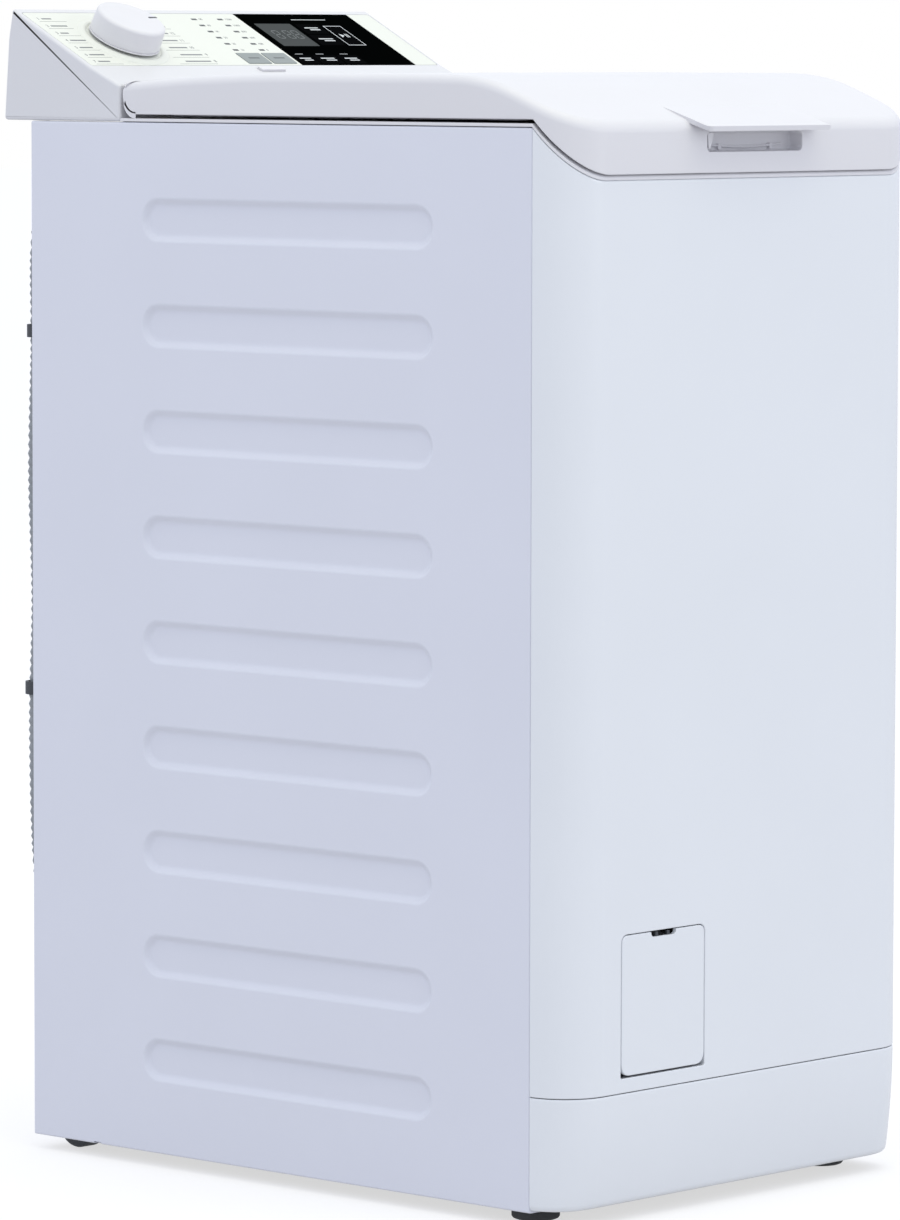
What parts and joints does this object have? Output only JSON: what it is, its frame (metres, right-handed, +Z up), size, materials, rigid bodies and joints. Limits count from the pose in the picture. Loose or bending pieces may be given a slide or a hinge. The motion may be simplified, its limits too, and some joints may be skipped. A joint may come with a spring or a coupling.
{
  "type": "top load washing machine",
  "caption": "Slim top-loading washing machine with ribbed steel sides, a hinged lid with a pull handle, a sloped control console with a knob and keys, and a sprung tub with a two-flap drum.",
  "frame": {"origin": "on the floor, under the middle of the machine", "axes": "+Z up, the front faces -Y, +X to the right seen from the front"},
  "size_m": [0.4, 0.612, 0.897],
  "materials": {
    "enamel": "smooth bluish white enamel on folded sheet steel",
    "white_plastic": "satin white moulded plastic",
    "fascia_plastic": "matt warm white printed panel",
    "blue_grey_plastic": "pale blue-grey moulded plastic",
    "grey_key": "mid grey satin keys",
    "black_glass": "gloss black display window",
    "black_key": "satin black keys",
    "dark_plastic": "dark grey structural plastic",
    "rubber": "dark grey rubber",
    "hose_rubber": "grey ribbed hose",
    "tub_plastic": "pale grey glass-filled polypropylene",
    "steel": "stainless and zinc-plated steel",
    "cast_aluminium": "cast aluminium",
    "motor_metal": "laminated motor body and cast brackets",
    "weight": "rough grey casting",
    "board": "green circuit board with dark components"
  },
  "bodies": {
    "root": {"left_side_panel": "enamel", "right_side_panel": "enamel", "front_panel": "enamel", "plinth": "enamel", "rear_panel": "enamel", "rear_access_cover": "enamel", "base_tray": "dark_plastic", "front_left_foot": "rubber", "front_right_foot": "rubber", "top_frame": "white_plastic", "door_lock": "dark_plastic", "console_housing": "white_plastic", "console_fascia": "fascia_plastic", "display_panel": "black_glass", "program_selector": "dark_plastic", "control_board": "board", "console_base": "blue_grey_plastic", "left_suspension_spring": "steel", "right_suspension_spring": "steel", "left_damper": "dark_plastic", "right_damper": "dark_plastic", "tub_gasket": "rubber", "drain_pump": "dark_plastic", "drain_hose": "hose_rubber", "inlet_valve": "white_plastic"},
    "lid": {"lid_cover": "white_plastic", "lid_liner": "white_plastic", "lid_hinge_rod": "steel", "lid_handle": "white_plastic"},
    "drawer": {"detergent_drawer": "blue_grey_plastic"},
    "knob": {"program_knob": "white_plastic"},
    "left_wheel": {"rear_left_wheel": "dark_plastic"},
    "right_wheel": {"rear_right_wheel": "dark_plastic"},
    "filter_cap": {"pump_filter": "blue_grey_plastic"},
    "service_door": {"filter_door": "enamel"},
    "tub": {"tub_left_half": "tub_plastic", "tub_right_half": "tub_plastic", "drum_bearing_left": "steel", "drum_bearing_right": "steel", "heater": "steel", "counterweight": "weight", "motor": "motor_metal", "drive_belt": "rubber"},
    "drum": {"drum_shell": "steel", "drum_left_end": "cast_aluminium", "drum_right_end": "cast_aluminium", "drum_pulley": "cast_aluminium"},
    "motor_shaft_pulley": {"motor_pulley": "cast_aluminium"},
    "front_flap": {"front_drum_flap": "steel"},
    "rear_flap": {"rear_drum_flap": "steel"},
    "latch": {"flap_latch": "dark_plastic"},
    "temperature_key": {"temperature_button": "grey_key"},
    "spin_key": {"spin_button": "grey_key"},
    "prewash_key": {"prewash_button": "black_key"},
    "rinse_plus_key": {"rinse_plus_button": "black_key"},
    "softener_plus_key": {"softener_plus_button": "black_key"},
    "delay_start_key": {"delay_start_button": "black_key"},
    "time_key": {"time_button": "black_key"},
    "start_pause_key": {"start_pause_button": "black_key"},
    "power_key": {"power_button": "white_plastic"}
  },
  "joints": [
    {"name": "lid_hinge", "type": "hinge", "parent": "root", "child": "lid", "pos_m": [0, 0.161, 0.823], "axis": [-1, 0, 0], "range_deg": [0, 90]},
    {"name": "drawer_slide", "type": "slide", "parent": "lid", "child": "drawer", "axis": [0, -1, 0], "range_m": [0, 0.04]},
    {"name": "knob_turn", "type": "hinge", "parent": "root", "child": "knob", "pos_m": [-0.129, 0.24574, 0.86459], "axis": [0, -0.4607, 0.8876], "continuous": true},
    {"name": "left_wheel_roll", "type": "hinge", "parent": "root", "child": "left_wheel", "pos_m": [-0.171, 0.25, 0.02], "axis": [1, 0, 0], "continuous": true},
    {"name": "right_wheel_roll", "type": "hinge", "parent": "root", "child": "right_wheel", "pos_m": [0.171, 0.25, 0.02], "axis": [1, 0, 0], "continuous": true},
    {"name": "filter_turn", "type": "hinge", "parent": "root", "child": "filter_cap", "pos_m": [-0.0948, -0.24, 0.1606], "axis": [0, -1, 0], "range_deg": [0, 180]},
    {"name": "service_door_hinge", "type": "hinge", "parent": "root", "child": "service_door", "pos_m": [-0.0948, -0.2834, 0.1106], "axis": [1, 0, 0], "range_deg": [0, 95]},
    {"name": "tub_float", "type": "slide", "parent": "root", "child": "tub", "axis": [0, 0, 1], "range_m": [-0.008, 0.008], "stiffness_N_per_m": 20000, "springref_m": 0.01486, "deforming": ["left_suspension_spring", "right_suspension_spring", "left_damper", "right_damper", "tub_gasket"]},
    {"name": "drum_spin", "type": "hinge", "parent": "tub", "child": "drum", "pos_m": [-0.005, -0.004, 0.425], "axis": [1, 0, 0], "range_deg": [-360, 0]},
    {"name": "motor_spin", "type": "hinge", "parent": "tub", "child": "motor_shaft_pulley", "pos_m": [0.166, 0.15, 0.125], "axis": [1, 0, 0], "range_deg": [-4260, 0]},
    {"name": "front_flap_hinge", "type": "hinge", "parent": "drum", "child": "front_flap", "pos_m": [-0.005, -0.114, 0.62494], "axis": [1, 0, 0], "range_deg": [0, 95]},
    {"name": "rear_flap_hinge", "type": "hinge", "parent": "drum", "child": "rear_flap", "pos_m": [-0.005, 0.106, 0.62494], "axis": [-1, 0, 0], "range_deg": [0, 95]},
    {"name": "latch_slide", "type": "slide", "parent": "front_flap", "child": "latch", "axis": [0, -1, 0], "range_m": [0, 0.004], "stiffness_N_per_m": 200, "springref_m": -0.002},
    {"name": "temperature_key_press", "type": "slide", "parent": "root", "child": "temperature_key", "axis": [0, 0.4607, -0.8876], "range_m": [0, 0.001], "stiffness_N_per_m": 400, "springref_m": -0.001},
    {"name": "spin_key_press", "type": "slide", "parent": "root", "child": "spin_key", "axis": [0, 0.4607, -0.8876], "range_m": [0, 0.001], "stiffness_N_per_m": 400, "springref_m": -0.001},
    {"name": "prewash_key_press", "type": "slide", "parent": "root", "child": "prewash_key", "axis": [0, 0.4607, -0.8876], "range_m": [0, 0.001], "stiffness_N_per_m": 400, "springref_m": -0.001},
    {"name": "rinse_plus_key_press", "type": "slide", "parent": "root", "child": "rinse_plus_key", "axis": [0, 0.4607, -0.8876], "range_m": [0, 0.001], "stiffness_N_per_m": 400, "springref_m": -0.001},
    {"name": "softener_plus_key_press", "type": "slide", "parent": "root", "child": "softener_plus_key", "axis": [0, 0.4607, -0.8876], "range_m": [0, 0.001], "stiffness_N_per_m": 400, "springref_m": -0.001},
    {"name": "delay_start_key_press", "type": "slide", "parent": "root", "child": "delay_start_key", "axis": [0, 0.4607, -0.8876], "range_m": [0, 0.001], "stiffness_N_per_m": 400, "springref_m": -0.001},
    {"name": "time_key_press", "type": "slide", "parent": "root", "child": "time_key", "axis": [0, 0.4607, -0.8876], "range_m": [0, 0.001], "stiffness_N_per_m": 400, "springref_m": -0.001},
    {"name": "start_pause_key_press", "type": "slide", "parent": "root", "child": "start_pause_key", "axis": [0, 0.4607, -0.8876], "range_m": [0, 0.001], "stiffness_N_per_m": 400, "springref_m": -0.001},
    {"name": "power_key_press", "type": "slide", "parent": "root", "child": "power_key", "axis": [0, 0.4607, -0.8876], "range_m": [0, 0.001], "stiffness_N_per_m": 400, "springref_m": -0.001}
  ],
  "couplings": [
    {"joint": "motor_spin", "follows": "drum_spin", "ratio": 11.818}
  ]
}
